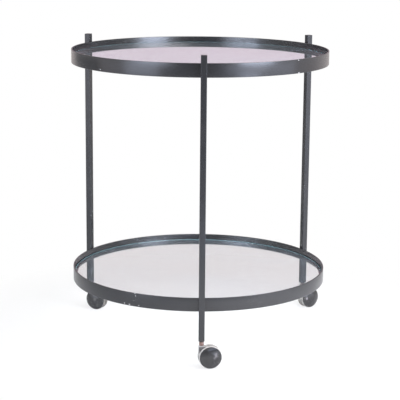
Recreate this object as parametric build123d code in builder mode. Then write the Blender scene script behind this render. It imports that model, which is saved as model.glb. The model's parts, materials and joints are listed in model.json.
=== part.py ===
from build123d import *
import os
from math import cos, radians, sin, sqrt

# A round serving cart: two glass shelves in steel hoops, three square legs and twin-wheel casters.
# Millimetres, +Z up. The origin is on the floor under the hoops' common axis, and the front leg stands on -Y.

# Hoops of flat bar, and their places along the legs
hoop_outer_diameter = 580.0
hoop_wall = 3.0
hoop_height = 30.0
hoop_edge_radius = 0.6
shelf_spacing = 500.0
leg_below_hoop = 61.0
leg_above_hoop = 18.0

# Legs of square tube, standing off the hoops on weld pads
leg_width = 13.0
leg_wall = 1.5
leg_corner_radius = 1.0
leg_standoff = 3.5
weld_pad_width = 9.0
weld_pad_height = 22.0
weld_pad_sink = 5.0
leg_cap_thickness = 2.0
leg_cap_edge_radius = 0.5
leg_plug_length = 8.0
leg_plug_clearance = 0.05

# Ledges inside the hoops, the clear pads on them and the glass
glass_depth = 13.0
glass_thickness = 5.0
glass_edge_gap = 1.0
glass_arris = 0.6
ledge_width = 7.0
ledge_thickness = 3.0
glass_pad_diameter = 5.0
glass_pad_thickness = 1.0
glass_pad_count = 6

# Twin wheels: pale tread, hub with web and rim, and a domed cover
wheel_diameter = 50.0
tread_width = 5.0
tread_thickness = 5.0
tread_edge_radius = 0.9
wheel_gap = 9.0
wheel_rim = 2.5
wheel_web = 1.7
wheel_hub_diameter = 13.0
dome_setback = 1.1
dome_skirt = 1.0
dome_height = 7.5
dome_wall = 2.7
dome_shoulder_radius = 1.2

# Caster body, axle and clips
caster_trail = 18.5
body_setback = 4.5
body_drum_diameter = 18.0
body_edge_radius = 0.8
boss_margin = 0.5
boss_rise = 1.0
axle_diameter = 6.0
axle_end_gap = 0.5
axle_overhang = 0.5
clip_diameter = 11.0
clip_thickness = 1.0

# Stem, grip ring and socket
collar_diameter = 10.4
collar_height = 10.2
collar_chamfer = 0.5
stem_pin_diameter = 5.0
stem_pin_length = 16.0
shank_diameter = 6.0
shank_length = 30.0
shank_tip_chamfer = 1.0
grip_ring_thickness = 1.2
grip_ring_diameter = 7.1
grip_groove_depth = 0.7
grip_groove_below_tip = 4.0
grip_ring_split = 2.0
socket_length = 36.0

# Fits between pieces that move on each other
bearing_clearance = 0.05
running_gap = 0.3
grip_room = 0.35

# Which way each leg's caster trails on the floor; the legs follow each other round the hoops from the front
front_leg_angle = -90.0
caster_headings = {"front": 10.0, "rear_right": 34.0, "rear_left": -27.0}

# Worked out from the sizes above
leg_step = 360 / len(caster_headings)
leg_angles = {place: front_leg_angle + leg_step * turn for turn, place in enumerate(caster_headings)}
hoop_outer_radius = hoop_outer_diameter / 2
hoop_inner_radius = hoop_outer_radius - hoop_wall
leg_radius = hoop_outer_radius + leg_standoff + leg_width / 2
leg_bore = leg_width - 2 * leg_wall
plug_width = leg_bore - 2 * leg_plug_clearance

wheel_radius = wheel_diameter / 2
tread_seat_radius = wheel_radius - tread_thickness
wheel_recess = tread_width - wheel_web
dome_radius = wheel_radius - dome_setback
dome_top = tread_width + dome_height
axle_radius = axle_diameter / 2
axle_end = dome_top - dome_wall - axle_end_gap
clip_top = axle_end - axle_overhang
hub_end = clip_top - clip_thickness - running_gap

collar_radius = collar_diameter / 2
boss_top = wheel_radius + boss_rise
collar_base = wheel_radius + boss_top
collar_top = collar_base + collar_height
shank_radius = shank_diameter / 2
shank_tip = collar_top + shank_length
grip_groove_base = shank_tip - grip_groove_below_tip - grip_ring_thickness
grip_groove_radius = shank_radius - grip_groove_depth

leg_bottom = collar_top + running_gap
hoop_bottoms = {"bottom": leg_bottom + leg_below_hoop}
hoop_bottoms["top"] = hoop_bottoms["bottom"] + shelf_spacing
leg_top = hoop_bottoms["top"] + hoop_height + leg_above_hoop


def save(part, name):
    part.label = name
    export_step(part, f"parts/{name}.step")


def floor_direction(angle):
    return Vector(cos(radians(angle)), sin(radians(angle)), 0)


def upright_plane(origin, x_dir):
    """A plane whose local x is x_dir along the floor and whose local y is up."""
    return Plane(origin=origin, x_dir=x_dir, z_dir=x_dir.cross(Vector(0, 0, 1)))


def level_plane(origin, x_dir):
    return Plane(origin=origin, x_dir=x_dir, z_dir=(0, 0, 1))


# Shelves


def make_hoop(bottom):
    with BuildPart() as hoop:
        with BuildSketch(Plane.XY.offset(bottom)):
            Circle(hoop_outer_radius)
            Circle(hoop_inner_radius, mode=Mode.SUBTRACT)
        extrude(amount=hoop_height)
        fillet(hoop.edges().filter_by(GeomType.CIRCLE), hoop_edge_radius)
    return hoop.part


def make_ledge(bottom):
    with BuildPart() as ledge:
        with BuildSketch(Plane.XY.offset(bottom)):
            Circle(hoop_inner_radius)
            Circle(hoop_inner_radius - ledge_width, mode=Mode.SUBTRACT)
        extrude(amount=ledge_thickness)
    return ledge.part


def make_glass_pads(bottom):
    with BuildPart() as pads:
        with BuildSketch(Plane.XY.offset(bottom)):
            with PolarLocations(hoop_inner_radius - ledge_width / 2, glass_pad_count):
                Circle(glass_pad_diameter / 2)
        extrude(amount=glass_pad_thickness)
    return pads.part


def make_glass(bottom):
    with BuildPart() as glass:
        with BuildSketch(Plane.XY.offset(bottom)):
            Circle(hoop_inner_radius - glass_edge_gap)
        extrude(amount=glass_thickness)
        chamfer(glass.edges().filter_by(GeomType.CIRCLE), glass_arris)
    return glass.part


def make_weld_pads(hoop_bottom):
    """One pad at each leg: hollow against the hoop, flat against the leg."""
    pad_depth = leg_standoff + weld_pad_sink
    pad_radius = hoop_outer_radius + leg_standoff - pad_depth / 2
    with BuildPart() as pads:
        with BuildSketch(Plane.XY.offset(hoop_bottom + (hoop_height - weld_pad_height) / 2)):
            with PolarLocations(pad_radius, len(leg_angles), start_angle=front_leg_angle):
                Rectangle(pad_depth, weld_pad_width)
            Circle(hoop_outer_radius, mode=Mode.SUBTRACT)
        extrude(amount=weld_pad_height)
    return pads.part


# Legs


def make_leg(foot):
    with BuildPart() as leg:
        with BuildSketch(foot):
            RectangleRounded(leg_width, leg_width, leg_corner_radius)
            Rectangle(leg_bore, leg_bore, mode=Mode.SUBTRACT)
        extrude(amount=leg_top - leg_cap_thickness - leg_bottom)
    return leg.part


def make_leg_cap(foot):
    tube_top = foot.offset(leg_top - leg_cap_thickness - leg_bottom)
    with BuildPart() as cap:
        with BuildSketch(tube_top):
            RectangleRounded(leg_width, leg_width, leg_corner_radius)
        extrude(amount=leg_cap_thickness)
        with BuildSketch(tube_top):
            Rectangle(plug_width, plug_width)
        extrude(amount=-leg_plug_length)
        top_edges = cap.faces().sort_by(Axis.Z)[-1].edges()
        fillet(top_edges, leg_cap_edge_radius)
    return cap.part


def make_socket(foot):
    """A square plug in the leg's lower end, bored for the stem and grooved for its grip ring."""
    room_base = foot.offset(grip_groove_base - grip_room - leg_bottom)
    with BuildPart() as socket:
        with BuildSketch(foot):
            Rectangle(plug_width, plug_width)
            Circle(shank_radius + bearing_clearance, mode=Mode.SUBTRACT)
        extrude(amount=socket_length)
        with BuildSketch(room_base):
            Circle(grip_ring_diameter / 2 + grip_room)
        extrude(amount=grip_ring_thickness + 2 * grip_room, mode=Mode.SUBTRACT)
    return socket.part


# Casters


def make_stem(base):
    with BuildPart() as stem:
        with BuildSketch(base.offset(collar_base - stem_pin_length)):
            Circle(stem_pin_diameter / 2)
        extrude(amount=stem_pin_length)
        with BuildSketch(base.offset(collar_base)):
            Circle(collar_radius)
        extrude(amount=collar_height)
        rims = stem.edges().filter_by(GeomType.CIRCLE).group_by(SortBy.RADIUS)[-1]
        chamfer(rims, collar_chamfer)
        with BuildSketch(base.offset(collar_top)):
            Circle(shank_radius)
        extrude(amount=shank_length)
        chamfer(stem.faces().sort_by(Axis.Z)[-1].edges(), shank_tip_chamfer)
        with BuildSketch(base.offset(grip_groove_base)):
            Circle(shank_radius)
            Circle(grip_groove_radius, mode=Mode.SUBTRACT)
        extrude(amount=grip_ring_thickness, mode=Mode.SUBTRACT)
    return stem.part


def make_grip_ring(base):
    ring_radius = grip_ring_diameter / 2
    with BuildPart() as ring:
        with BuildSketch(base.offset(grip_groove_base)):
            Circle(ring_radius)
            Circle(grip_groove_radius, mode=Mode.SUBTRACT)
            with Locations((ring_radius / 2, 0)):
                Rectangle(ring_radius, grip_ring_split, mode=Mode.SUBTRACT)
        extrude(amount=grip_ring_thickness)
    return ring.part


def make_body(side):
    """The body between the wheels: a disc round the axle drawn out to a boss under the stem, and a drum each side."""
    half_body = wheel_gap / 2 - running_gap
    boss_width = collar_diameter + 2 * boss_margin
    with BuildPart() as body:
        with BuildSketch(side) as outline:
            Circle(wheel_radius - body_setback)
            with Locations((caster_trail, boss_top / 2)):
                Rectangle(boss_width, boss_top)
            make_hull()
            fillet(outline.vertices().group_by(Axis.Y)[-1], body_edge_radius)
        extrude(amount=half_body, both=True)
        across = body.faces().sort_by(Axis(side.origin, side.z_dir))
        fillet(across[0].edges() + across[-1].edges(), body_edge_radius)
        with BuildSketch(side):
            Circle(body_drum_diameter / 2)
        extrude(amount=half_body + wheel_recess, both=True)
        with BuildSketch(side):
            Circle(axle_radius)
        extrude(amount=half_body + wheel_recess, both=True, mode=Mode.SUBTRACT)
        with BuildSketch(Plane(side.from_local_coords(Vector(caster_trail, boss_top, 0)))):
            Circle(stem_pin_diameter / 2)
        extrude(amount=-stem_pin_length, mode=Mode.SUBTRACT)
    return body.part


def make_axle(side):
    with BuildPart() as axle:
        with BuildSketch(side):
            Circle(axle_radius)
        extrude(amount=wheel_gap / 2 + axle_end, both=True)
    return axle.part


def make_axle_clips(side):
    inner_face = wheel_gap / 2 + clip_top - clip_thickness
    with BuildPart() as clips:
        for plane, direction in ((side.offset(inner_face), 1), (side.offset(-inner_face), -1)):
            with BuildSketch(plane):
                Circle(clip_diameter / 2)
                Circle(axle_radius, mode=Mode.SUBTRACT)
            extrude(amount=direction * clip_thickness)
    return clips.part


def spin_axis(wheel):
    return Axis(wheel.origin, wheel.x_dir)


def make_wheel(wheel):
    """Rim, web and hub in one moulding; local x runs out from the wheel's inner face, local y is the radius."""
    bore_radius = axle_radius + bearing_clearance
    rim_inside = tread_seat_radius - wheel_rim
    hub_radius = wheel_hub_diameter / 2
    with BuildPart() as core:
        with BuildSketch(wheel):
            with BuildLine():
                Polyline(
                    (wheel_recess, bore_radius),
                    (hub_end, bore_radius),
                    (hub_end, hub_radius),
                    (tread_width, hub_radius),
                    (tread_width, tread_seat_radius),
                    (0, tread_seat_radius),
                    (0, rim_inside),
                    (wheel_recess, rim_inside),
                    close=True,
                )
            make_face()
        revolve(axis=spin_axis(wheel))
    return core.part


def make_tread(wheel):
    with BuildPart() as tread:
        with BuildSketch(wheel) as section:
            with Locations((tread_width / 2, tread_seat_radius + tread_thickness / 2)):
                Rectangle(tread_width, tread_thickness)
            fillet(section.vertices().group_by(Axis.Y)[-1], tread_edge_radius)
        revolve(axis=spin_axis(wheel))
    return tread.part


def make_dome(wheel):
    """A domed cover pressed over the hub, with room inside for the axle's end and clip."""
    shoulder = tread_width + dome_skirt
    rise = dome_top - shoulder
    sphere_radius = (dome_radius**2 + rise**2) / (2 * rise)
    half_way = sqrt(sphere_radius**2 - (dome_radius / 2) ** 2) - sphere_radius
    with BuildPart() as dome:
        with BuildSketch(wheel) as section:
            with BuildLine():
                Polyline((dome_top, 0), (tread_width, 0), (tread_width, dome_radius), (shoulder, dome_radius))
                ThreePointArc((shoulder, dome_radius), (dome_top + half_way, dome_radius / 2), (dome_top, 0))
            make_face()
            shoulder_corner = section.vertices().group_by(Axis.Y)[-1].sort_by(Axis.X)[-1]
            fillet(shoulder_corner, dome_shoulder_radius)
        revolve(axis=spin_axis(wheel))
        with BuildSketch(Plane(origin=wheel.origin, x_dir=wheel.y_dir, z_dir=wheel.x_dir).offset(tread_width)):
            Circle(wheel_hub_diameter / 2)
        extrude(amount=dome_height - dome_wall, mode=Mode.SUBTRACT)
    return dome.part


def save_caster(place, stem_point, heading):
    trail = floor_direction(heading)
    out = trail.cross(Vector(0, 0, 1))
    axle_point = stem_point + trail * caster_trail + Vector(0, 0, wheel_radius)
    base = level_plane(stem_point, trail)
    side = upright_plane(axle_point, trail * -1)
    save(make_stem(base), f"{place}_caster_stem")
    save(make_grip_ring(base), f"{place}_caster_grip_ring")
    save(make_body(side), f"{place}_caster_body")
    save(make_axle(side), f"{place}_caster_axle")
    save(make_axle_clips(side), f"{place}_caster_axle_clips")
    for hand, outward in (("right", out), ("left", out * -1)):
        wheel = upright_plane(axle_point + outward * (wheel_gap / 2), outward)
        save(make_wheel(wheel), f"{place}_caster_{hand}_wheel")
        save(make_tread(wheel), f"{place}_caster_{hand}_tread")
        save(make_dome(wheel), f"{place}_caster_{hand}_dome")


os.makedirs("parts", exist_ok=True)

for level, hoop_bottom in hoop_bottoms.items():
    glass_bottom = hoop_bottom + hoop_height - glass_depth - glass_thickness
    pad_bottom = glass_bottom - glass_pad_thickness
    save(make_hoop(hoop_bottom), f"{level}_hoop")
    save(make_ledge(pad_bottom - ledge_thickness), f"{level}_ledge")
    save(make_glass_pads(pad_bottom), f"{level}_glass_pads")
    save(make_glass(glass_bottom), f"{level}_glass")
    save(make_weld_pads(hoop_bottom), f"{level}_weld_pads")

for place, angle in leg_angles.items():
    outward = floor_direction(angle)
    leg_point = outward * leg_radius
    foot = level_plane(leg_point + Vector(0, 0, leg_bottom), outward)
    save(make_leg(foot), f"{place}_leg")
    save(make_leg_cap(foot), f"{place}_leg_cap")
    save(make_socket(foot), f"{place}_caster_socket")
    save_caster(place, leg_point, caster_headings[place])
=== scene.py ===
"""Looks for a round serving cart: painted hoops and legs, glass shelves and twin-wheel casters."""

import json
import logging
import math
from collections.abc import Iterable, Mapping, Sequence
from dataclasses import dataclass
from enum import Enum
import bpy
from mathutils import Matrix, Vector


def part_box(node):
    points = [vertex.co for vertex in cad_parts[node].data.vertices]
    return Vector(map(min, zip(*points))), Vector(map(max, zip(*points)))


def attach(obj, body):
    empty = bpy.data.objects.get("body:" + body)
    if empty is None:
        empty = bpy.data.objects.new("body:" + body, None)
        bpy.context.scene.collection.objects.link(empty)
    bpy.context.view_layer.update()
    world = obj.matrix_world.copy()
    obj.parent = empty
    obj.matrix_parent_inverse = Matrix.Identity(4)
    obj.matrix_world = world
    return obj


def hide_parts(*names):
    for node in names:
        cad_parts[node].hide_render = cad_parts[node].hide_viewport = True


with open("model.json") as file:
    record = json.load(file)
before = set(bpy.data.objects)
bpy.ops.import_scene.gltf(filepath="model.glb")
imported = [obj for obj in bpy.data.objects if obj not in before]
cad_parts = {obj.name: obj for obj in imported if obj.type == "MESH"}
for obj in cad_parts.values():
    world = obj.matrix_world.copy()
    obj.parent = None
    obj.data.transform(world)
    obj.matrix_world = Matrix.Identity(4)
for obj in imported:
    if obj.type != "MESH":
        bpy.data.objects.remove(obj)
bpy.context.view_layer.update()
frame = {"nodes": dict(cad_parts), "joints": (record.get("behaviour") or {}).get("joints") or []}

from types import MappingProxyType
from typing import Any, Union

import bmesh
import bpy
from mathutils import Matrix, Quaternion, Vector

MM = 0.001
UP = Vector((0, 0, 1))
CENTRE = Vector((0, 0, 0))
NOTHING: Mapping[Any, Any] = MappingProxyType({})

Colour = tuple[float, float, float]
Point = tuple[float, float]
Ring = Sequence[bmesh.types.BMVert]

log = logging.getLogger("serving_cart")


class Level(Enum):
    """The two shelves."""

    TOP = "top"
    BOTTOM = "bottom"


class Place(Enum):
    """Where a leg and its caster stand."""

    FRONT = "front"
    REAR_LEFT = "rear_left"
    REAR_RIGHT = "rear_right"


class Hand(Enum):
    """The two wheels of a caster."""

    LEFT = "left"
    RIGHT = "right"


class Slot(Enum):
    """The record's material slots."""

    PAINT = "charcoal_paint"
    GLASS = "clear_glass"
    PAD = "clear_pad"
    DARK_PLASTIC = "dark_plastic"
    TREAD = "pale_tread"
    PALE_PLASTIC = "pale_plastic"
    COPPER = "copper_stem"
    STEEL = "bare_steel"


class Lay(Enum):
    """Which way the marks in a painted bar run."""

    ROUND = "round"
    UPRIGHT = "upright"


# Shader expressions


class Value:
    """A shader socket that carries a number and can be used in Python expressions."""

    def __init__(self, graph: "Graph", socket: bpy.types.NodeSocket) -> None:
        """Keeps the socket and the graph that it belongs to."""
        self.graph = graph
        self.socket = socket

    def _math(self, operation: str, first: "Number", second: "Number") -> "Value":
        """Adds a Math node and gives its result."""
        return self.graph.value("ShaderNodeMath", 0, {"operation": operation}, {0: first, 1: second})

    def __add__(self, other: "Number") -> "Value":
        """Adds."""
        return self._math("ADD", self, other)

    def __radd__(self, other: float) -> "Value":
        """Adds to a number."""
        return self._math("ADD", other, self)

    def __sub__(self, other: "Number") -> "Value":
        """Subtracts."""
        return self._math("SUBTRACT", self, other)

    def __rsub__(self, other: float) -> "Value":
        """Subtracts from a number."""
        return self._math("SUBTRACT", other, self)

    def __mul__(self, other: "Number") -> "Value":
        """Multiplies."""
        return self._math("MULTIPLY", self, other)

    def __rmul__(self, other: float) -> "Value":
        """Multiplies a number."""
        return self._math("MULTIPLY", other, self)

    def __abs__(self) -> "Value":
        """Drops the sign."""
        return self._math("ABSOLUTE", self, 0.0)

    def at_most(self, limit: "Number") -> "Value":
        """The value, or the limit where that is smaller."""
        return self._math("MINIMUM", self, limit)

    def ramp(self, low: "Number", high: "Number") -> "Value":
        """Rises smoothly from 0 at low to 1 at high, which is below low for a fall."""
        settings = {"interpolation_type": "SMOOTHSTEP"}
        return self.graph.value("ShaderNodeMapRange", 0, settings, {0: self, 1: low, 2: high})


Number = Union[float, Value]


class Graph:
    """A node tree that is filled by plain calls."""

    def __init__(self, tree: bpy.types.NodeTree) -> None:
        """Empties the tree and keeps it."""
        tree.nodes.clear()
        self.tree = tree

    def node(
        self, kind: str, settings: Mapping[str, Any] = NOTHING, sockets: Mapping[Any, Any] = NOTHING
    ) -> bpy.types.Node:
        """Adds a node.

        Args:
            kind: The node's type.
            settings: Its own properties, set first.
            sockets: Values or links for its inputs, by name or place.

        Returns:
            The node.
        """
        made = self.tree.nodes.new(kind)
        for name, setting in settings.items():
            setattr(made, name, setting)
        for key, given in sockets.items():
            if isinstance(given, Value):
                given = given.socket
            if isinstance(given, bpy.types.NodeSocket):
                self.tree.links.new(given, made.inputs[key])
            elif made.inputs[key].type == "RGBA":
                made.inputs[key].default_value = (*given, 1.0)
            else:
                made.inputs[key].default_value = given
        return made

    def link(
        self,
        kind: str,
        output: Any,
        settings: Mapping[str, Any] = NOTHING,
        sockets: Mapping[Any, Any] = NOTHING,
    ) -> bpy.types.NodeSocket:
        """Adds a node and gives one of its outputs as a socket."""
        return self.node(kind, settings, sockets).outputs[output]

    def value(
        self,
        kind: str,
        output: Any,
        settings: Mapping[str, Any] = NOTHING,
        sockets: Mapping[Any, Any] = NOTHING,
    ) -> Value:
        """Adds a node and gives one of its outputs as a value."""
        return Value(self, self.link(kind, output, settings, sockets))

    def place(self) -> bpy.types.NodeSocket:
        """The point on the surface, in the piece's own metres."""
        return self.link("ShaderNodeTexCoord", "Object")

    def axes(self, point: bpy.types.NodeSocket) -> tuple[Value, ...]:
        """The three coordinates of a point."""
        split = self.node("ShaderNodeSeparateXYZ", sockets={0: point})
        return tuple(Value(self, socket) for socket in split.outputs)

    def vector(self, operation: str, first: Any, second: Any) -> bpy.types.NodeSocket:
        """Vector maths on two points."""
        settings = {"operation": operation}
        return self.link("ShaderNodeVectorMath", "Vector", settings, {0: first, 1: second})

    def distance(self, point: bpy.types.NodeSocket, centre: Vector) -> Value:
        """How far a point is from a fixed one."""
        settings = {"operation": "DISTANCE"}
        return self.value("ShaderNodeVectorMath", "Value", settings, {0: point, 1: centre})

    def unrolled(self, point: bpy.types.NodeSocket, radius: float) -> bpy.types.NodeSocket:
        """Unrolls a ring about the Z axis.

        Args:
            point: A point on the ring.
            radius: The radius along which the unrolled length is true.

        Returns:
            Length along the ring, height and depth as a point.
        """
        x, y, z = self.axes(point)
        turn = self.value("ShaderNodeMath", 0, {"operation": "ARCTAN2"}, {0: y, 1: x})
        depth = self.off_axis(point)
        return self.link("ShaderNodeCombineXYZ", 0, sockets={0: turn * radius, 1: z, 2: depth})

    def off_axis(self, point: bpy.types.NodeSocket) -> Value:
        """How far a point is from the Z axis."""
        level = self.vector("MULTIPLY", point, (1, 1, 0))
        return self.value("ShaderNodeVectorMath", "Value", {"operation": "LENGTH"}, {0: level})

    def noise(
        self,
        point: bpy.types.NodeSocket,
        size: float,
        detail: float = 2.0,
        stretch: Sequence[float] = (1, 1, 1),
    ) -> Value:
        """Cloudy noise.

        Args:
            point: Where it is read.
            size: The width of a cloud in metres.
            detail: How many finer layers it has.
            stretch: How much longer a cloud is along each axis.

        Returns:
            A value from 0 to 1, mostly near a half.
        """
        spread = self.vector("DIVIDE", point, [size * share for share in stretch])
        sockets = {"Vector": spread, "Scale": 1.0, "Detail": detail}
        return self.value("ShaderNodeTexNoise", 0, sockets=sockets)

    def mix(self, share: Number, first: Any, second: Any) -> bpy.types.NodeSocket:
        """Mixes two colours, from the first at 0 to the second at 1."""
        return self.link("ShaderNodeMix", 2, {"data_type": "RGBA"}, {0: share, 6: first, 7: second})

    def bump(self, height: Value, depth: float) -> bpy.types.NodeSocket:
        """A normal that shows height as relief of that depth in metres."""
        return self.link("ShaderNodeBump", "Normal", sockets={"Distance": depth, "Height": height})

    def either(
        self, share: Number, first: bpy.types.NodeSocket, second: bpy.types.NodeSocket
    ) -> bpy.types.NodeSocket:
        """Mixes two shaders, from the first at 0 to the second at 1."""
        return self.link("ShaderNodeMixShader", 0, sockets={0: share, 1: first, 2: second})

    def surface(self, **sockets: Any) -> bpy.types.NodeSocket:
        """A Principled shader; underscores in the names stand for spaces."""
        named = {name.replace("_", " "): given for name, given in sockets.items()}
        return self.link("ShaderNodeBsdfPrincipled", 0, sockets=named)

    def glow(self, colour: Any) -> bpy.types.NodeSocket:
        """A glow of strength 1 in a colour or a linked one."""
        return self.link("ShaderNodeEmission", 0, sockets={"Color": colour, "Strength": 1.0})

    def rays(self, *kinds: str) -> Value:
        """1 for rays of the named kinds, 0 for others."""
        path = self.node("ShaderNodeLightPath")
        return sum(Value(self, path.outputs[f"Is {kind} Ray"]) for kind in kinds).at_most(1.0)


# Finishes


class Finish:
    """A surface finish that makes its own material."""

    def shader(self, graph: Graph) -> bpy.types.NodeSocket:
        """Builds the finish's nodes and gives their shader."""
        raise NotImplementedError

    def make(self, name: str) -> bpy.types.Material:
        """Makes a material of this finish.

        Args:
            name: The material's name.

        Returns:
            The material.
        """
        material = bpy.data.materials.new(name)
        material.use_nodes = True
        graph = Graph(material.node_tree)
        graph.node("ShaderNodeOutputMaterial", sockets={"Surface": self.shader(graph)})
        return material


@dataclass(frozen=True)
class Chip:
    """A spot where a hoop's paint has come off: degrees from +X, height above the lower edge, width."""

    turn: float
    above: float
    width: float

    def centre(self, radius: float, lower_edge: float) -> Vector:
        """The spot's place on a hoop."""
        turn = math.radians(self.turn)
        return Vector((radius * math.cos(turn), radius * math.sin(turn), lower_edge + self.above))


@dataclass(frozen=True)
class CharcoalPaint(Finish):
    """Semi-gloss charcoal enamel on steel bar, rubbed along its edges, chipped, rusty at a low end."""

    lay: Lay = Lay.UPRIGHT
    radius: float = 0.0
    edges: tuple[float, ...] = ()
    chips: tuple[Chip, ...] = ()
    rust_below: float = 0.0
    colour: Colour = (0.0105, 0.0113, 0.0132)
    worn: Colour = (0.026, 0.026, 0.027)
    primer: Colour = (0.58, 0.57, 0.56)
    rust: Colour = (0.13, 0.065, 0.04)
    gloss: float = 0.24
    index: float = 1.65
    edge_reach: float = 1.3 * MM
    rust_fade: float = 7.0 * MM

    def shader(self, graph: Graph) -> bpy.types.NodeSocket:
        """Builds the enamel with its wear.

        Args:
            graph: The material's nodes.

        Returns:
            The shader.
        """
        point = graph.place()
        height = graph.axes(point)[2]
        along = point
        streak = (1, 1, 14)
        if self.lay is Lay.ROUND:
            along = graph.unrolled(point, self.radius)
            streak = (14, 1, 1)
        clouds = graph.noise(along, 60 * MM, 3.0)
        rubs = graph.noise(along, 1.6 * MM, 3.0, streak)
        grit = graph.noise(point, 4 * MM, 4.0)
        wear = clouds.ramp(0.45, 0.8) * 0.35 + rubs.ramp(0.6, 0.85) * 0.3
        for edge in self.edges:
            wear = wear + abs(height - edge).ramp(self.edge_reach, 0.0) * grit.ramp(0.35, 0.75)
        wear = wear.at_most(1.0)
        colour = graph.mix(wear, self.colour, self.worn)
        rough = self.gloss + wear * 0.10 + (grit - 0.5) * 0.08
        relief = graph.noise(point, 1.1 * MM, 1.0) * 0.25 + clouds
        for chip in self.chips:
            centre = chip.centre(self.radius, min(self.edges))
            ragged = graph.distance(point, centre) + (grit - 0.5) * chip.width
            bare = ragged.ramp(0.5 * chip.width, 0.35 * chip.width)
            colour = graph.mix(bare, colour, self.primer)
            rough = rough + bare * 0.3
            relief = relief - bare
        if self.rust_below:
            ragged = height + (grit - 0.5) * 2 * self.rust_fade
            eaten = ragged.ramp(self.rust_below, self.rust_below - self.rust_fade)
            colour = graph.mix(eaten * 0.8, colour, self.rust)
            rough = rough + eaten * 0.35
            relief = relief + eaten * grit
        return graph.surface(
            Base_Color=colour,
            Roughness=rough,
            IOR=self.index,
            Normal=graph.bump(relief, 0.012 * MM),
        )


@dataclass(frozen=True)
class ClearGlass(Finish):
    """Clear float glass, with a share of its face under a dusty veil, thickest towards its rim; the
    veil's blue tint and its extra share near the rim are painted sheen.
    """

    dust_and_sheen_share: float = 0.0
    radius: float = 0.0
    rim_dust_and_sheen: float = 0.02
    rim_reach: float = 60 * MM
    colour: Colour = (0.93, 0.965, 0.955)
    # Painted sheen: the blue tint of the dusty veil stands in for reflections of the blue lamps.
    dust_and_sheen: Colour = (0.50, 0.62, 0.78)
    shade: Colour = (0.95, 0.965, 0.96)

    def shader(self, graph: Graph) -> bpy.types.NodeSocket:
        """Builds the glass, which lets lamp light through to what is below.

        Args:
            graph: The material's nodes.

        Returns:
            The shader.
        """
        pane = graph.surface(Base_Color=self.colour, Roughness=0.0, IOR=1.52, Transmission_Weight=1.0)
        if self.dust_and_sheen_share:
            point = graph.place()
            wipes = graph.noise(point, 90 * MM, 4.0, (2.6, 0.7, 1.0))
            specks = graph.noise(point, 2.2 * MM, 2.0).ramp(0.62, 0.75)
            rim = graph.off_axis(point).ramp(self.radius - self.rim_reach, self.radius)
            # Painted sheen: the veil is thicker near the rim, which brightens the strip where the hoop's
            # wall shows in the pane.
            cover = (0.5 + wipes.ramp(0.3, 0.75) + specks * 0.5) * self.dust_and_sheen_share + rim * self.rim_dust_and_sheen
            pane = graph.either(cover, pane, graph.surface(Base_Color=self.dust_and_sheen, Roughness=0.9))
        lit = graph.link("ShaderNodeBsdfTransparent", 0, sockets={"Color": self.shade})
        return graph.either(graph.rays("Shadow"), pane, lit)


@dataclass(frozen=True)
class GlassRim(Finish):
    """The ground rim of a glass pane, blue-green from the depth of glass behind it."""

    colour: Colour = (0.09, 0.24, 0.26)
    pale: Colour = (0.22, 0.42, 0.44)

    def shader(self, graph: Graph) -> bpy.types.NodeSocket:
        """Builds the rim with its grinding marks.

        Args:
            graph: The material's nodes.

        Returns:
            The shader.
        """
        marks = graph.noise(graph.place(), 3 * MM, 3.0, (1, 1, 0.2))
        return graph.surface(
            Base_Color=graph.mix(marks.ramp(0.3, 0.7), self.colour, self.pale),
            Roughness=0.25 + marks * 0.2,
            IOR=1.52,
            Transmission_Weight=0.35,
            Normal=graph.bump(marks, 0.04 * MM),
        )


@dataclass(frozen=True)
class ClearPad(Finish):
    """Soft clear plastic, slightly yellowed."""

    colour: Colour = (0.80, 0.79, 0.72)
    cloudy: Colour = (0.66, 0.65, 0.58)

    def shader(self, graph: Graph) -> bpy.types.NodeSocket:
        """Builds the cloudy plastic.

        Args:
            graph: The material's nodes.

        Returns:
            The shader.
        """
        haze = graph.noise(graph.place(), 2 * MM, 3.0)
        return graph.surface(
            Base_Color=graph.mix(haze, self.colour, self.cloudy),
            Roughness=0.25 + haze * 0.25,
            IOR=1.45,
            Transmission_Weight=0.7,
        )


@dataclass(frozen=True)
class DarkPlastic(Finish):
    """Glossy dark grey moulded plastic with fine handling scratches and a little dust."""

    colour: Colour = (0.024, 0.0235, 0.024)
    scuffed: Colour = (0.050, 0.048, 0.047)
    gloss: float = 0.19
    index: float = 1.56

    def shader(self, graph: Graph) -> bpy.types.NodeSocket:
        """Builds the plastic with its scuffs.

        Args:
            graph: The material's nodes.

        Returns:
            The shader.
        """
        point = graph.place()
        clouds = graph.noise(point, 14 * MM, 4.0)
        scratch = graph.noise(point, 0.7 * MM, 3.0, (9, 1, 1)).ramp(0.66, 0.76)
        marks = (clouds.ramp(0.5, 0.8) * 0.5 + scratch * 0.35).at_most(1.0)
        return graph.surface(
            Base_Color=graph.mix(marks, self.colour, self.scuffed),
            Roughness=self.gloss + marks * 0.14,
            IOR=self.index,
            Normal=graph.bump(clouds * 0.5 - scratch * 0.2, 0.02 * MM),
        )


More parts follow.
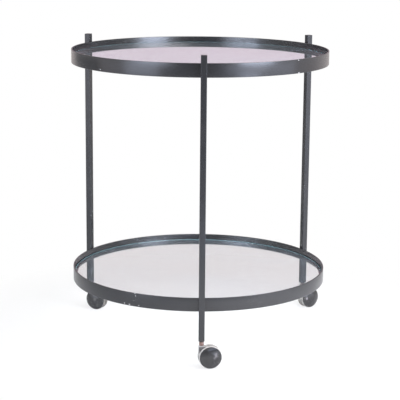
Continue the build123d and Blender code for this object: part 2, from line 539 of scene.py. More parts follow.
@dataclass(frozen=True)
class PaleTread(Finish):
    """Pale grey rubber, dirty where it meets the floor, and darkened as a whole by a per-wheel share
    that is partly real dirtiness and partly painted shade on far and shaded wheels.
    """

    wheel: Vector
    radius: float
    soil_and_shade: float
    colour: Colour = (0.60, 0.58, 0.55)
    dirt_and_shade: Colour = (0.20, 0.185, 0.165)

    def shader(self, graph: Graph) -> bpy.types.NodeSocket:
        """Builds the rubber with its running band.

        Args:
            graph: The material's nodes.

        Returns:
            The shader.
        """
        point = graph.place()
        grain = graph.noise(point, 0.9 * MM, 3.0)
        clouds = graph.noise(point, 9 * MM, 4.0)
        band = graph.distance(point, self.wheel).ramp(self.radius - 0.9 * MM, self.radius)
        # Painted shade: the per-wheel share darkens the whole tread of far and shaded wheels; the
        # running band and clouds add real dirtiness.
        soiled_and_shaded = self.soil_and_shade + band * clouds.ramp(0.35, 0.75) * 0.6 + clouds.ramp(0.55, 0.85) * 0.3
        return graph.surface(
            Base_Color=graph.mix(soiled_and_shaded.at_most(1.0), self.colour, self.dirt_and_shade),
            Roughness=0.55 + grain * 0.2,
            IOR=1.5,
            Normal=graph.bump(grain * 0.4 + clouds * 0.4, 0.05 * MM),
        )


@dataclass(frozen=True)
class PalePlastic(Finish):
    """Cream moulded plastic, darker in a band below its boss, which is real dirtiness together with
    painted shade between the wheels; its base colour is also set darker for that shade.
    """

    clean_unshaded_above: float
    # Painted shade: the base colour is set darker than the treads' for the shade in the slot between the
    # wheels.
    colour: Colour = (0.39, 0.38, 0.365)
    grime_and_shade: Colour = (0.060, 0.058, 0.055)
    grime_and_shade_fade: float = 1.5 * MM
    grime_and_shade_belt: float = 9.0 * MM

    def shader(self, graph: Graph) -> bpy.types.NodeSocket:
        """Builds the plastic with its fine moulded grain.

        Args:
            graph: The material's nodes.

        Returns:
            The shader.
        """
        point = graph.place()
        height = graph.axes(point)[2]
        clouds = graph.noise(point, 7 * MM, 4.0)
        grain = graph.noise(point, 0.5 * MM, 2.0)
        top, foot = self.clean_unshaded_above, self.clean_unshaded_above - self.grime_and_shade_belt
        # Painted shade with some dirtiness: darker in a band below the boss, where the slot between the
        # wheels lies in shade.
        grime_and_shade_belt = height.ramp(top, top - self.grime_and_shade_fade) * height.ramp(foot - self.grime_and_shade_belt, foot)
        grimy_and_shaded = (grime_and_shade_belt * 0.85 + clouds.ramp(0.5, 0.85) * 0.35).at_most(1.0)
        return graph.surface(
            Base_Color=graph.mix(grimy_and_shaded, self.colour, self.grime_and_shade),
            Roughness=0.36 + clouds * 0.2,
            IOR=1.5,
            Normal=graph.bump(grain * 0.5 + clouds * 0.3, 0.03 * MM),
        )


@dataclass(frozen=True)
class CopperStem(Finish):
    """Copper-plated steel, dulled and brown in patches, and darker close under its leg, which is
    dirtiness together with painted shade from the leg.
    """

    grimy_and_shaded_above: float
    colour: Colour = (0.28, 0.195, 0.17)
    tarnish: Colour = (0.13, 0.075, 0.058)
    grime_and_shade: Colour = (0.016, 0.013, 0.012)
    grime_and_shade_fade: float = 1.2 * MM

    def shader(self, graph: Graph) -> bpy.types.NodeSocket:
        """Builds the plating with its tarnish and turning marks.

        Args:
            graph: The material's nodes.

        Returns:
            The shader.
        """
        point = graph.place()
        clouds = graph.noise(point, 5 * MM, 4.0)
        turned = graph.noise(point, 0.5 * MM, 2.0, (9, 9, 1))
        dull = clouds.ramp(0.38, 0.72)
        # Painted shade with some dirtiness: the stem goes dark just under the leg's foot.
        grimy_and_shaded = graph.axes(point)[2].ramp(self.grimy_and_shaded_above - self.grime_and_shade_fade, self.grimy_and_shaded_above)
        plating = graph.mix(dull, self.colour, self.tarnish)
        return graph.surface(
            Base_Color=graph.mix(grimy_and_shaded, plating, self.grime_and_shade),
            Metallic=(1.0 - dull * 0.35) * (1.0 - grimy_and_shaded),
            Roughness=0.34 + dull * 0.25,
            Normal=graph.bump(turned * 0.5 + clouds * 0.3, 0.03 * MM),
        )


@dataclass(frozen=True)
class BareSteel(Finish):
    """Zinc-plated steel, greyed with use."""

    colour: Colour = (0.56, 0.56, 0.55)
    greyed: Colour = (0.30, 0.295, 0.285)

    def shader(self, graph: Graph) -> bpy.types.NodeSocket:
        """Builds the plating with its drawn marks.

        Args:
            graph: The material's nodes.

        Returns:
            The shader.
        """
        point = graph.place()
        clouds = graph.noise(point, 4 * MM, 4.0)
        drawn = graph.noise(point, 0.4 * MM, 2.0, (1, 1, 9))
        return graph.surface(
            Base_Color=graph.mix(clouds.ramp(0.4, 0.7), self.colour, self.greyed),
            Metallic=1.0,
            Roughness=0.28 + clouds * 0.2,
            Normal=graph.bump(drawn, 0.02 * MM),
        )


@dataclass(frozen=True)
class PaleFloor(Finish):
    """A pale floor that keeps the shadow near the cart and runs out to the white of the background."""

    colour: Colour = (0.88, 0.88, 0.88)
    mottled: Colour = (0.8712, 0.8712, 0.8712)
    lift: float = 0.70
    white_from: float = 0.35
    white_to: float = 1.2
    mirrored_from: float = 2.0
    mirrored_to: float = 3.5
    mirrored_colour: Colour = (0.95, 0.87, 0.86)

    def shader(self, graph: Graph) -> bpy.types.NodeSocket:
        """Builds the lit floor and its white surround.

        Args:
            graph: The material's nodes.

        Returns:
            The shader.
        """
        point = graph.place()
        away = graph.distance(point, CENTRE)
        mottle = graph.noise(point, 0.4, 3.0)
        lit = graph.surface(
            Base_Color=graph.mix(mottle, self.colour, self.mottled),
            Roughness=0.85,
            Specular_IOR_Level=0.0,
        )
        cleared = self.lift + away.ramp(self.white_from, self.white_to)
        seen = graph.rays("Camera", "Transmission") * cleared
        mirrored = graph.rays("Glossy") * away.ramp(self.mirrored_from, self.mirrored_to)
        white = graph.glow(graph.mix(graph.rays("Reflection"), (1, 1, 1), self.mirrored_colour))
        return graph.either((seen + mirrored).at_most(1.0), lit, white)


@dataclass(frozen=True)
class CardGlow(Finish):
    """The glow of a card that only shows in reflections, which turns white towards the cart's sides."""

    colour: Colour
    fade_from: float
    fade_to: float

    def shader(self, graph: Graph) -> bpy.types.NodeSocket:
        """Builds the glow.

        Args:
            graph: The material's nodes.

        Returns:
            The shader.
        """
        if self.fade_from >= self.fade_to:
            return graph.glow(self.colour)
        x, y, _ = graph.axes(graph.place())
        turn = graph.value("ShaderNodeMath", 0, {"operation": "ARCTAN2"}, {0: x, 1: y})
        fade = abs(turn).ramp(math.radians(self.fade_from), math.radians(self.fade_to))
        return graph.glow(graph.mix(fade, self.colour, (1, 1, 1)))


# Meshes


def round_corners(points: Sequence[Point], radii: Sequence[float], steps: int = 5) -> list[Point]:
    """Rounds the corners of a closed outline.

    Args:
        points: The corners in order.
        radii: A radius for each corner, 0 for a sharp one.
        steps: Points along each rounded corner, less one.

    Returns:
        The outline's points.
    """
    outline: list[Point] = []
    for index, (corner, radius) in enumerate(zip(points, radii)):
        here = Vector(corner)
        if radius <= 0:
            outline.append(tuple(here))
            continue
        back = (Vector(points[index - 1]) - here).normalized()
        ahead = (Vector(points[(index + 1) % len(points)]) - here).normalized()
        half = back.angle(ahead) / 2
        centre = here + (back + ahead).normalized() * (radius / math.sin(half))
        start = here + back * (radius / math.tan(half)) - centre
        end = here + ahead * (radius / math.tan(half)) - centre
        sweep = start.angle_signed(end)
        for step in range(steps + 1):
            outline.append(tuple(centre + Matrix.Rotation(-sweep * step / steps, 2) @ start))
    return outline


class MeshMaker:
    """Collects turned and lofted forms into one mesh."""

    def __init__(self) -> None:
        """Starts with no form."""
        self.work = bmesh.new()

    def turn(
        self,
        profile: Sequence[Point],
        origin: Vector,
        axis: Vector,
        segments: int,
        slots: Sequence[int] = (),
        closed: bool = True,
    ) -> None:
        """Turns a profile about an axis.

        Args:
            profile: Points as (distance along the axis, radius).
            origin: A point on the axis.
            axis: The axis direction.
            segments: Faces round the axis.
            slots: The material slot of each stretch of the profile, 0 where not given.
            closed: Whether the last point joins the first.
        """
        direction = axis.normalized()
        across = direction.orthogonal().normalized()
        turns = [2 * math.pi * step / segments for step in range(segments)]
        spokes = [Quaternion(direction, turn) @ across for turn in turns]
        rings = []
        for along, radius in profile:
            centre = origin + direction * along
            reach = spokes if radius > 1e-9 else [CENTRE]
            rings.append([self.work.verts.new(centre + spoke * radius) for spoke in reach])
        for index in range(len(profile) if closed else len(profile) - 1):
            slot = slots[index] if index < len(slots) else 0
            self._bridge(rings[index], rings[(index + 1) % len(rings)], slot)

    def _bridge(self, first: Ring, second: Ring, slot: int) -> None:
        """Joins two rings of points with faces.

        Args:
            first: A ring, or one point on the axis.
            second: The next ring, or one point on the axis.
            slot: The faces' material slot.
        """
        segments = max(len(first), len(second))
        if segments == 1:
            return
        for step in range(segments):
            places = ((first, step), (first, step + 1), (second, step + 1), (second, step))
            corners = dict.fromkeys(ring[place % len(ring)] for ring, place in places)
            face = self.work.faces.new(list(corners))
            face.material_index = slot
            face.smooth = True

    def loft(self, sections: Sequence[Sequence[Vector]]) -> None:
        """Joins closed loops of equal length into a capped solid.

        Args:
            sections: The loops in order.
        """
        rings = [[self.work.verts.new(point) for point in section] for section in sections]
        for first, second in zip(rings, rings[1:]):
            self._bridge(first, second, 0)
        self.work.faces.new(rings[0])
        self.work.faces.new(rings[-1])

    def mesh(self, name: str, crease: float = 35.0) -> bpy.types.Mesh:
        """Ends the work.

        Args:
            name: The mesh's name.
            crease: Edges sharper than this many degrees stay sharp.

        Returns:
            The mesh, with its faces turned outward.
        """
        bmesh.ops.recalc_face_normals(self.work, faces=self.work.faces)
        made = bpy.data.meshes.new(name)
        self.work.to_mesh(made)
        self.work.free()
        made.set_sharp_from_angle(angle=math.radians(crease))
        return made


def add_piece(
    node: str,
    form: str,
    mesh: bpy.types.Mesh,
    finishes: Iterable[bpy.types.Material],
    body: str,
) -> None:
    """Adds a piece that stands for a CAD node and rides on its body.

    Args:
        node: The CAD node that it stands for.
        form: What it is, added to the node's name.
        mesh: Its mesh, in the cart's frame.
        finishes: Its materials in slot order.
        body: The CAD body that it rides on.
    """
    piece = bpy.data.objects.new(f"{node}_{form}", mesh)
    bpy.context.scene.collection.objects.link(piece)
    for finish in finishes:
        mesh.materials.append(finish)
    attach(piece, body)
    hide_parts(node)
    log.info("piece %s on %s", piece.name, body)


def dress_node(node: str, finish: bpy.types.Material) -> None:
    """Gives a CAD node a finish.

    Args:
        node: The node's name.
        finish: The material for its slots.
    """
    for holder in frame["nodes"][node].material_slots:
        holder.material = finish
    log.info("node %s in %s", node, finish.name)


def joint_named(name: str) -> Mapping[str, Any]:
    """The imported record's joint of that name."""
    return next(joint for joint in frame["joints"] if joint["name"] == name)


# The cart's sub-assemblies


@dataclass
class Shelf:
    """A hoop with the ledge, pads and glass inside it and the weld pads outside it."""

    level: Level
    chips: tuple[Chip, ...]
    wall: float = 3.0 * MM
    edge_radius: float = 0.6 * MM
    arris: float = 0.6 * MM
    ledge_width: float = 7.0 * MM
    pad_count: int = 6
    pad_radius: float = 2.5 * MM
    pad_edge: float = 0.35 * MM
    pad_segments: int = 32
    weld_width: float = 9.0 * MM
    weld_flare: float = 1.2 * MM
    weld_sink: float = 0.4 * MM
    weld_corner: float = 1.5 * MM
    weld_steps: int = 8
    segments: int = 360

    def node(self, piece: str) -> str:
        """The CAD name of one of the shelf's pieces."""
        return f"{self.level.value}_{piece}"

    def outer_radius(self) -> float:
        """The hoop's outer radius."""
        low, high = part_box(self.node("hoop"))
        return (high.x - low.x) / 2

    def build(
        self, paint: bpy.types.Material, glass: Sequence[bpy.types.Material], pad: bpy.types.Material
    ) -> None:
        """Builds and dresses the shelf.

        Args:
            paint: The finish of the ledge and weld pads.
            glass: The finishes of the glass's upper face, rim and lower face.
            pad: The finish of the clear pads.
        """
        self.build_hoop()
        self.build_glass(glass)
        self.build_pads(pad)
        self.build_welds(paint)
        dress_node(self.node("ledge"), paint)

    def build_hoop(self) -> None:
        """Builds the rolled bar with its eased edges and its paint."""
        name = self.node("hoop")
        low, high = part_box(name)
        outer = self.outer_radius()
        inner = outer - self.wall
        corners = [(low.z, inner), (low.z, outer), (high.z, outer), (high.z, inner)]
        maker = MeshMaker()
        maker.turn(round_corners(corners, [self.edge_radius] * len(corners)), CENTRE, UP, self.segments)
        paint = CharcoalPaint(Lay.ROUND, outer, (low.z, high.z), self.chips)
        add_piece(name, "bar", maker.mesh(name), [paint.make(f"{name}_paint")], "frame")

    def build_glass(self, finishes: Sequence[bpy.types.Material]) -> None:
        """Builds the pane with its ground rim and arrises.

        Args:
            finishes: The finishes of its upper face, rim and lower face.
        """
        name = self.node("glass")
        low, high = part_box(name)
        radius = (high.x - low.x) / 2
        profile = [
            (high.z, 0.0),
            (high.z, radius - self.arris),
            (high.z - self.arris, radius),
            (low.z + self.arris, radius),
            (low.z, radius - self.arris),
            (low.z, 0.0),
        ]
        maker = MeshMaker()
        maker.turn(profile, CENTRE, UP, self.segments, (0, 1, 1, 1, 2), closed=False)
        add_piece(name, "pane", maker.mesh(name, crease=20.0), finishes, name)

    def build_pads(self, finish: bpy.types.Material) -> None:
        """Builds the clear pads on the ledge, rounded off at their edges.

        Args:
            finish: Their finish.
        """
        name = self.node("glass_pads")
        low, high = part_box(name)
        ring = self.outer_radius() - self.wall - self.ledge_width / 2
        corners = [(low.z, 0.0), (low.z, self.pad_radius), (high.z, self.pad_radius), (high.z, 0.0)]
        profile = round_corners(corners, [0.0, self.pad_edge, self.pad_edge, 0.0])
        maker = MeshMaker()
        for step in range(self.pad_count):
            turn = 2 * math.pi * step / self.pad_count
            middle = Vector((ring * math.cos(turn), ring * math.sin(turn), 0))
            maker.turn(profile, middle, UP, self.pad_segments, closed=False)
        add_piece(name, "set", maker.mesh(name), [finish], "frame")

    def build_welds(self, paint: bpy.types.Material) -> None:
        """Builds the weld pads, whose painted beads flare out against hoop and leg.

        Args:
            paint: Their finish.
        """
        name = self.node("weld_pads")
        low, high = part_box(name)
        leg_low, leg_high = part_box(f"{Place.FRONT.value}_leg")
        inner = self.outer_radius() - self.weld_sink
        maker = MeshMaker()
        for place in Place:
            stem = joint_named(f"{place.value}_caster_swivel")["pos_m"]
            leg = Vector((stem[0], stem[1], 0))
            depth = leg.length - (leg_high.x - leg_low.x) / 2 - inner
            outward = leg.normalized()
            across = UP.cross(outward)
            sections = []
            for step in range(self.weld_steps + 1):
                share = step / self.weld_steps
                flare = self.weld_flare * (1 - math.sin(math.pi * share)) ** 2
                wide = self.weld_width / 2 + flare
                tall = (high.z - low.z) / 2 + flare
                corners = [(-wide, -tall), (wide, -tall), (wide, tall), (-wide, tall)]
                outline = round_corners(corners, [self.weld_corner] * len(corners))
                centre = outward * (inner + depth * share) + UP * ((low.z + high.z) / 2)
                sections.append([centre + across * side + UP * rise for side, rise in outline])
            maker.loft(sections)
        add_piece(name, "beads", maker.mesh(name, crease=50.0), [paint], "frame")


@dataclass
class Leg:
    """A square leg with its cap and, in its foot, the socket for a caster."""

    place: Place

    def build(self, paint: bpy.types.Material, steel: bpy.types.Material) -> None:
        """Dresses the leg.

        Args:
            paint: The finish of leg and cap.
            steel: The socket's finish.
        """
        name = self.place.value
        dress_node(f"{name}_leg", paint)
        dress_node(f"{name}_leg_cap", paint)
        dress_node(f"{name}_caster_socket", steel)


@dataclass
class Caster:
    """A twin-wheel caster: stem, body, axle, and two wheels with tread and domed cover."""

    place: Place
    soil_and_shade: dict[Hand, float]
    tread_width: float = 5.0 * MM
    tread_depth: float = 5.0 * MM
    tread_crown: float = 0.35 * MM
    crown_radius: float = 6.0 * MM
    tread_edge: float = 0.9 * MM
    wheel_gap: float = 9.0 * MM
    dome_setback: float = 1.1 * MM
    dome_skirt: float = 1.0 * MM
    dome_height: float = 7.5 * MM
    dome_wall: float = 2.7 * MM
    dome_shoulder: float = 0.6 * MM
    hub_radius: float = 6.5 * MM
    dome_steps: int = 14
    segments: int = 128

    def node(self, piece: str) -> str:
        """The CAD name of one of the caster's pieces."""
        return f"{self.place.value}_caster_{piece}"

    def build(self, finishes: Mapping[Slot, bpy.types.Material]) -> None:
        """Builds and dresses the caster.

        Args:
            finishes: The materials of its plain pieces by slot.
        """
        dress_node(self.node("stem"), finishes[Slot.COPPER])
        dress_node(self.node("body"), finishes[Slot.PALE_PLASTIC])
        for piece in ("grip_ring", "axle", "axle_clips"):
            dress_node(self.node(piece), finishes[Slot.STEEL])
        for hand in Hand:
            dress_node(self.node(f"{hand.value}_wheel"), finishes[Slot.DARK_PLASTIC])
            self.build_wheel(hand, finishes[Slot.DARK_PLASTIC])

    def build_wheel(self, hand: Hand, dark: bpy.types.Material) -> None:
        """Builds one wheel's tread and domed cover.

        Args:
            hand: Which of the two wheels.
            dark: The dome's finish.
        """
        joint = joint_named(self.node(f"{hand.value}_wheel_roll"))
        axle = Vector(joint["pos_m"])
        low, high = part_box(self.node(f"{hand.value}_tread"))
        outward = Vector(joint["axis"]).normalized()
        if outward.dot((low + high) / 2 - axle) < 0:
            outward = -outward
        inner_face = axle + outward * (self.wheel_gap / 2)
        radius = (high.z - low.z) / 2
        self.build_tread(hand, inner_face, outward, radius)
        self.build_dome(hand, inner_face, outward, radius - self.dome_setback, dark)

    def build_tread(self, hand: Hand, face: Vector, outward: Vector, radius: float) -> None:
        """Builds the crowned rubber tread.

        Args:
            hand: Which of the two wheels.
            face: The middle of the wheel's inner face.
            outward: The way out from there along the axle.
            radius: The wheel's radius.
        """
        seat = radius - self.tread_depth
        width = self.tread_width
        shoulder = radius - self.tread_crown
        corners = [(0.0, seat), (0.0, shoulder), (width / 2, radius), (width, shoulder), (width, seat)]
        rounds = [0.0, self.tread_edge, self.crown_radius, self.tread_edge, 0.0]
        maker = MeshMaker()
        maker.turn(round_corners(corners, rounds), face, outward, self.segments)
        name = self.node(f"{hand.value}_tread")
        middle = face + outward * (width / 2)
        rubber = PaleTread(middle, radius, self.soil_and_shade[hand]).make(f"{name}_rubber")
        body = self.node(f"{hand.value}_wheel")
        add_piece(name, "ring", maker.mesh(name), [rubber], body)

    def build_dome(
        self, hand: Hand, face: Vector, outward: Vector, radius: float, dark: bpy.types.Material
    ) -> None:
        """Builds the domed cover, with room inside for the hub.

        Args:
            hand: Which of the two wheels.
            face: The middle of the wheel's inner face.
            outward: The way out from there along the axle.
            radius: The dome's radius.
            dark: Its finish.
        """
        base = self.tread_width
        shoulder = base + self.dome_skirt
        top = base + self.dome_height
        rise = top - shoulder
        ball = (radius**2 + rise**2) / (2 * rise)
        half_turn = math.asin(radius / ball)
        recess = top - self.dome_wall
        hub = self.hub_radius
        corners = [(recess, 0.0), (recess, hub), (base, hub), (base, radius), (shoulder, radius)]
        rounds = [0.0, 0.0, 0.0, 0.0, self.dome_shoulder]
        for step in range(1, self.dome_steps + 1):
            turn = half_turn * (1 - step / self.dome_steps)
            corners.append((top - ball + ball * math.cos(turn), ball * math.sin(turn)))
            rounds.append(0.0)
        maker = MeshMaker()
        maker.turn(round_corners(corners, rounds), face, outward, self.segments, closed=False)
        name = self.node(f"{hand.value}_dome")
        body = self.node(f"{hand.value}_wheel")
        add_piece(name, "cover", maker.mesh(name), [dark], body)


# The studio


@dataclass
class Softbox:
    """A soft lamp with an even face."""

    name: str
    wide: float
    tall: float
    glow: float
    colour: Colour

    def light(self, place: Vector, facing: Vector) -> None:
        """Sets up the lamp.

        Args:
            place: Where the middle of its face is.
            facing: The way that it faces.
        """
        lamp = bpy.data.lights.new(self.name, "AREA")
        lamp.shape = "RECTANGLE"
        lamp.size = self.wide
        lamp.size_y = self.tall
        lamp.energy = self.glow * math.pi * self.wide * self.tall
        lamp.color = self.colour
        stand = bpy.data.objects.new(self.name, lamp)
        bpy.context.scene.collection.objects.link(stand)
        stand.location = place
        stand.rotation_euler = facing.to_track_quat("-Z", "Y").to_euler()
        stand.visible_camera = False
        log.info("lamp %s", self.name)


@dataclass
class Panel:
    """An upright soft panel: degrees right of the cart's front, width, lower and upper edge, glow."""

    name: str
    turn: float
    wide: float
    low: float
    high: float
    glow: float

    def light(self, away: float, colour: Colour) -> None:
        """Stands the panel at a distance from the cart, facing it.

        Args:
            away: Distance from the cart's axis.
            colour: The light's colour.
        """
        turn = math.radians(self.turn)
        side = Vector((math.sin(turn), -math.cos(turn), 0))
        box = Softbox(self.name, self.wide, self.high - self.low, self.glow, colour)
        box.light(side * away + UP * ((self.low + self.high) / 2), -side)


@dataclass
class Card:
    """An upright card that only shows in reflections.

    It stands over a path on the floor, from its lower to its upper edge. Where fade_to is above
    fade_from, it turns white between those degrees from the cart's back. A card that blocks casts shade.
    """

    name: str
    path: tuple[Point, ...]
    low: float
    high: float
    colour: Colour
    blocks: bool = False
    fade_from: float = 0.0
    fade_to: float = 0.0


def round_the_back(radius: float, reach: float, steps: int = 48) -> tuple[Point, ...]:
    """A path round the back of the cart.

    Args:
        radius: Its distance from the cart's axis.
        reach: How many degrees it runs to each side of the back.
        steps: How many straight lengths it has.

    Returns:
        The path's points.
    """
    turns = (math.radians(reach * (2 * step / steps - 1)) for step in range(steps + 1))
    return tuple((radius * math.sin(turn), radius * math.cos(turn)) for turn in turns)


BACK_PATH = round_the_back(5.0, 115.0)
FLAG_PATH = ((0.041, -0.639), (0.31, -0.418))


@dataclass
class Studio:
    """The pale floor, the soft lamps, the cards, the white surround and the camera.

    The glints are small cards that give the domes their highlights and don't show through the glass.
    """

    floor_half: float = 30.0
    ambient: float = 0.44
    ambient_colour: Colour = (1.0, 0.975, 0.94)
    panel_away: float = 2.3
    panel_colour: Colour = (0.70, 0.79, 1.0)
    overhead_place: tuple[float, float, float] = (0.0, -0.2, 2.7)
    floor_lamp_colour: Colour = (0.96, 0.94, 1.0)
    floor_lamp_place: tuple[float, float, float] = (0.61, -0.62, 0.9)
    eye: tuple[float, float, float] = (-81.4 * MM, -3099.5 * MM, 973.9 * MM)
    yaw: float = 1.549
    pitch: float = 12.207
    roll: float = 0.506
    lens: float = 123.7
    sensor: float = 36.0
    panels: tuple[Panel, ...] = (
        Panel("right_low_panel", 40.0, 0.75, 0.01, 0.21, 6.0),
        Panel("right_middle_panel", 37.0, 1.5, 0.21, 0.62, 1.5),
        Panel("right_upper_panel", 46.0, 1.2, 0.69, 0.86, 20.0),
        Panel("right_top_panel", 47.0, 1.15, 0.86, 1.28, 7.2),
        Panel("right_side_panel", 70.0, 1.1, 0.03, 0.62, 1.3),
        Panel("left_low_panel", -51.0, 1.25, 0.03, 0.66, 2.3),
        Panel("left_upper_panel", -42.0, 1.2, 0.70, 0.86, 6.0),
        Panel("left_top_panel", -45.0, 1.3, 0.86, 1.28, 11.0),
        Panel("left_side_panel", -80.0, 0.9, 0.03, 0.62, 0.4),
    )
    cards: tuple[Card, ...] = (
        Card("lilac_card", BACK_PATH, 0.90, 1.285, (0.61, 0.47, 0.58), fade_from=35.0, fade_to=110.0),
        Card("pale_card", BACK_PATH, 1.285, 2.8, (0.50, 0.36, 0.40), fade_from=35.0, fade_to=110.0),
        Card("grey_card", ((-1.6, -2.6), (1.6, -2.6)), 0.0, 0.55, (0.42, 0.42, 0.44)),
        Card("dark_card", ((-1.1, -2.6), (1.1, -2.6)), 0.60, 1.06, (0.13, 0.13, 0.15)),
        Card("side_card", ((-2.6, 0.3), (-2.6, 3.2)), 0.0, 0.55, (0.35, 0.35, 0.36)),
        Card("dark_flag", FLAG_PATH, 0.118, 0.168, (0.05, 0.06, 0.08), blocks=True),
        Card("blue_flag", FLAG_PATH, 0.168, 0.24, (2.1, 2.4, 3.1), blocks=True),
    )
    glints: tuple[Card, ...] = (
        Card("front_glint", ((0.080, -0.368), (0.093, -0.353)), 0.009, 0.045, (6.7, 6.6, 7.4)),
        Card("front_low_glint", ((0.061, -0.365), (0.073, -0.355)), 0.001, 0.013, (5.4, 5.3, 5.9)),
        Card("rear_left_glint", ((-0.314, 0.079), (-0.303, 0.066)), 0.005, 0.025, (5.5, 5.5, 5.7)),
        Card("rear_right_glint", ((0.305, 0.078), (0.319, 0.089)), 0.001, 0.0175, (14.0, 13.5, 15.5)),
    )

    def build(self) -> None:
        """Builds the whole studio."""
        self.build_floor()
        for card in self.cards:
            self.build_card(card)
        for glint in self.glints:
            self.build_card(glint).visible_transmission = False
        self.build_surround()
        self.build_lamps()
        self.build_camera()
        bpy.context.scene.view_settings.view_transform = "Standard"

    def add_sheet(
        self,
        name: str,
        corners: Sequence[Sequence[float]],
        faces: Sequence[Sequence[int]],
        finish: bpy.types.Material,
    ) -> bpy.types.Object:
        """Adds a sheet of the stage.

        Args:
            name: Its name.
            corners: Its corners.
            faces: The corners of each of its flat faces.
            finish: Its material.

        Returns:
            The sheet.
        """
        mesh = bpy.data.meshes.new(name)
        mesh.from_pydata(corners, [], faces)
        mesh.materials.append(finish)
        sheet = bpy.data.objects.new(name, mesh)
        bpy.context.scene.collection.objects.link(sheet)
        log.info("stage %s", name)
        return sheet

    def build_floor(self) -> None:
        """Lays the pale floor."""
        half = self.floor_half
        corners = [(-half, -half, 0), (half, -half, 0), (half, half, 0), (-half, half, 0)]
        self.add_sheet("floor", corners, [(0, 1, 2, 3)], PaleFloor().make("pale_floor"))

    def build_card(self, card: Card) -> bpy.types.Object:
        """Hangs a card where only reflections show it.

        Args:
            card: The card.

        Returns:
            Its sheet.
        """
        corners = [(*point, height) for point in card.path for height in (card.low, card.high)]
        faces = [(start, start + 2, start + 3, start + 1) for start in range(0, len(corners) - 2, 2)]
        glow = CardGlow(card.colour, card.fade_from, card.fade_to).make(f"{card.name}_glow")
        sheet = self.add_sheet(card.name, corners, faces, glow)
        sheet.visible_camera = False
        sheet.visible_diffuse = False
        sheet.visible_shadow = card.blocks
        return sheet

    def build_lamps(self) -> None:
        """Stands the panels round the front and hangs a softbox over the cart and one over the floor."""
        for panel in self.panels:
            panel.light(self.panel_away, self.panel_colour)
        overhead = Softbox("overhead_softbox", 2.6, 2.6, 1.1, self.ambient_colour)
        overhead.light(Vector(self.overhead_place), -UP)
        floor_lamp = Softbox("floor_softbox", 0.9, 0.7, 7.8, self.floor_lamp_colour)
        floor_lamp.light(Vector(self.floor_lamp_place), -UP)

    def build_surround(self) -> None:
        """Sets the world: white where it is seen, soft where it lights."""
        world = bpy.data.worlds.new("surround")
        world.use_nodes = True
        bpy.context.scene.world = world
        graph = Graph(world.node_tree)
        soft, white = (
            graph.link("ShaderNodeBackground", 0, sockets={"Color": colour, "Strength": strength})
            for colour, strength in ((self.ambient_colour, self.ambient), ((1, 1, 1), 1.0))
        )
        shown = graph.either(graph.rays("Camera", "Glossy", "Transmission"), soft, white)
        graph.node("ShaderNodeOutputWorld", sockets={"Surface": shown})

    def build_camera(self) -> None:
        """Stands the camera where the photograph was taken from."""
        yaw, pitch, roll = (math.radians(turn) for turn in (self.yaw, self.pitch, self.roll))
        flat = math.cos(pitch)
        ahead = Vector((math.sin(yaw) * flat, math.cos(yaw) * flat, -math.sin(pitch)))
        level = Vector((math.cos(yaw), -math.sin(yaw), 0))
        upright = level.cross(ahead)
        right = level * math.cos(roll) + upright * math.sin(roll)
        up = upright * math.cos(roll) - level * math.sin(roll)
        data = bpy.data.cameras.new("camera")
        data.sensor_width = self.sensor
        data.lens = self.lens
        data.clip_end = 3 * self.floor_half
        camera = bpy.data.objects.new("camera", data)
        bpy.context.scene.collection.objects.link(camera)
        turned = Matrix((right, up, -ahead)).transposed().to_4x4()
        camera.matrix_world = Matrix.Translation(self.eye) @ turned
        bpy.context.scene.camera = camera


# The wear of single pieces

TOP_HOOP_CHIPS = (
    Chip(-138.2, 4.4 * MM, 2.6 * MM),
    Chip(-45.7, 28.2 * MM, 2.6 * MM),
    Chip(-45.3, 1.5 * MM, 2.8 * MM),
)
LOWER_HOOP_CHIPS = (
    Chip(-119.4, 29.7 * MM, 3.6 * MM),
    Chip(-119.1, 23.9 * MM, 2.6 * MM),
    Chip(-124.8, 3.8 * MM, 2.6 * MM),
    Chip(-122.2, 2.6 * MM, 3.4 * MM),
    Chip(-117.6, 3.9 * MM, 1.6 * MM),
    Chip(-120.0, 13.2 * MM, 1.4 * MM),
)
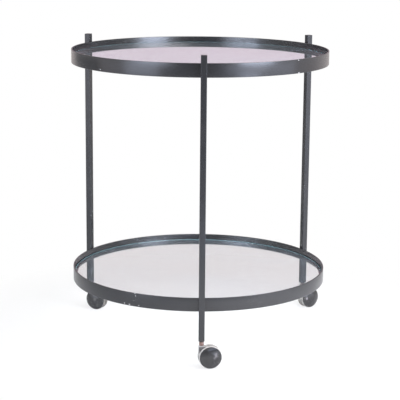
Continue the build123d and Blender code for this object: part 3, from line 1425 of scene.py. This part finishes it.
# Per-wheel darkening of the treads: partly real dirtiness, partly painted shade on the far wheel of each
# caster and on the rear-left caster under the lower hoop.
TREAD_SOIL_AND_SHADE: dict[Place, dict[Hand, float]] = {
    Place.FRONT: {Hand.LEFT: 0.5, Hand.RIGHT: 0.0},
    Place.REAR_LEFT: {Hand.LEFT: 0.85, Hand.RIGHT: 0.8},
    Place.REAR_RIGHT: {Hand.LEFT: 0.6, Hand.RIGHT: 0.4},
}
# Share of the panes' upper faces under the dusty veil, whose blue tint is painted sheen.
GLASS_DUST_AND_SHEEN = 0.04
# Heights that bound the painted shade and dirtiness under the boss top and under the leg's foot.
CLEAN_UNSHADED_BOSS = 2.0 * MM
GRIMY_AND_SHADED_STEM = 1.8 * MM
RUSTY_FOOT = 2.0 * MM


def main() -> None:
    """Builds and dresses the cart, then the studio."""
    logging.basicConfig(level=logging.INFO, format="%(message)s")
    leg_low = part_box(f"{Place.FRONT.value}_leg")[0].z
    cap_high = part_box(f"{Place.FRONT.value}_leg_cap")[1].z
    boss_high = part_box(f"{Place.FRONT.value}_caster_body")[1].z
    finishes = {
        Slot.PAINT: CharcoalPaint().make("charcoal_enamel"),
        Slot.PAD: ClearPad().make("clear_pad_plastic"),
        Slot.DARK_PLASTIC: DarkPlastic().make("dark_moulding"),
        Slot.PALE_PLASTIC: PalePlastic(boss_high - CLEAN_UNSHADED_BOSS).make("cream_moulding"),
        Slot.COPPER: CopperStem(leg_low - GRIMY_AND_SHADED_STEM).make("copper_plating"),
        Slot.STEEL: BareSteel().make("zinc_plating"),
    }
    glass_low, glass_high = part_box("top_glass")
    glass = [
        ClearGlass(GLASS_DUST_AND_SHEEN, (glass_high.x - glass_low.x) / 2).make("dusty_sheened_glass"),
        GlassRim().make("ground_rim"),
        ClearGlass().make("clean_glass"),
    ]
    for level, chips in ((Level.TOP, TOP_HOOP_CHIPS), (Level.BOTTOM, LOWER_HOOP_CHIPS)):
        Shelf(level, chips).build(finishes[Slot.PAINT], glass, finishes[Slot.PAD])
    leg_paint = CharcoalPaint(edges=(leg_low, cap_high), rust_below=leg_low + RUSTY_FOOT)
    leg_finish = leg_paint.make("leg_paint")
    for place in Place:
        Leg(place).build(leg_finish, finishes[Slot.STEEL])
        Caster(place, TREAD_SOIL_AND_SHADE[place]).build(finishes)
    Studio().build()


if __name__ == "__main__":
    main()
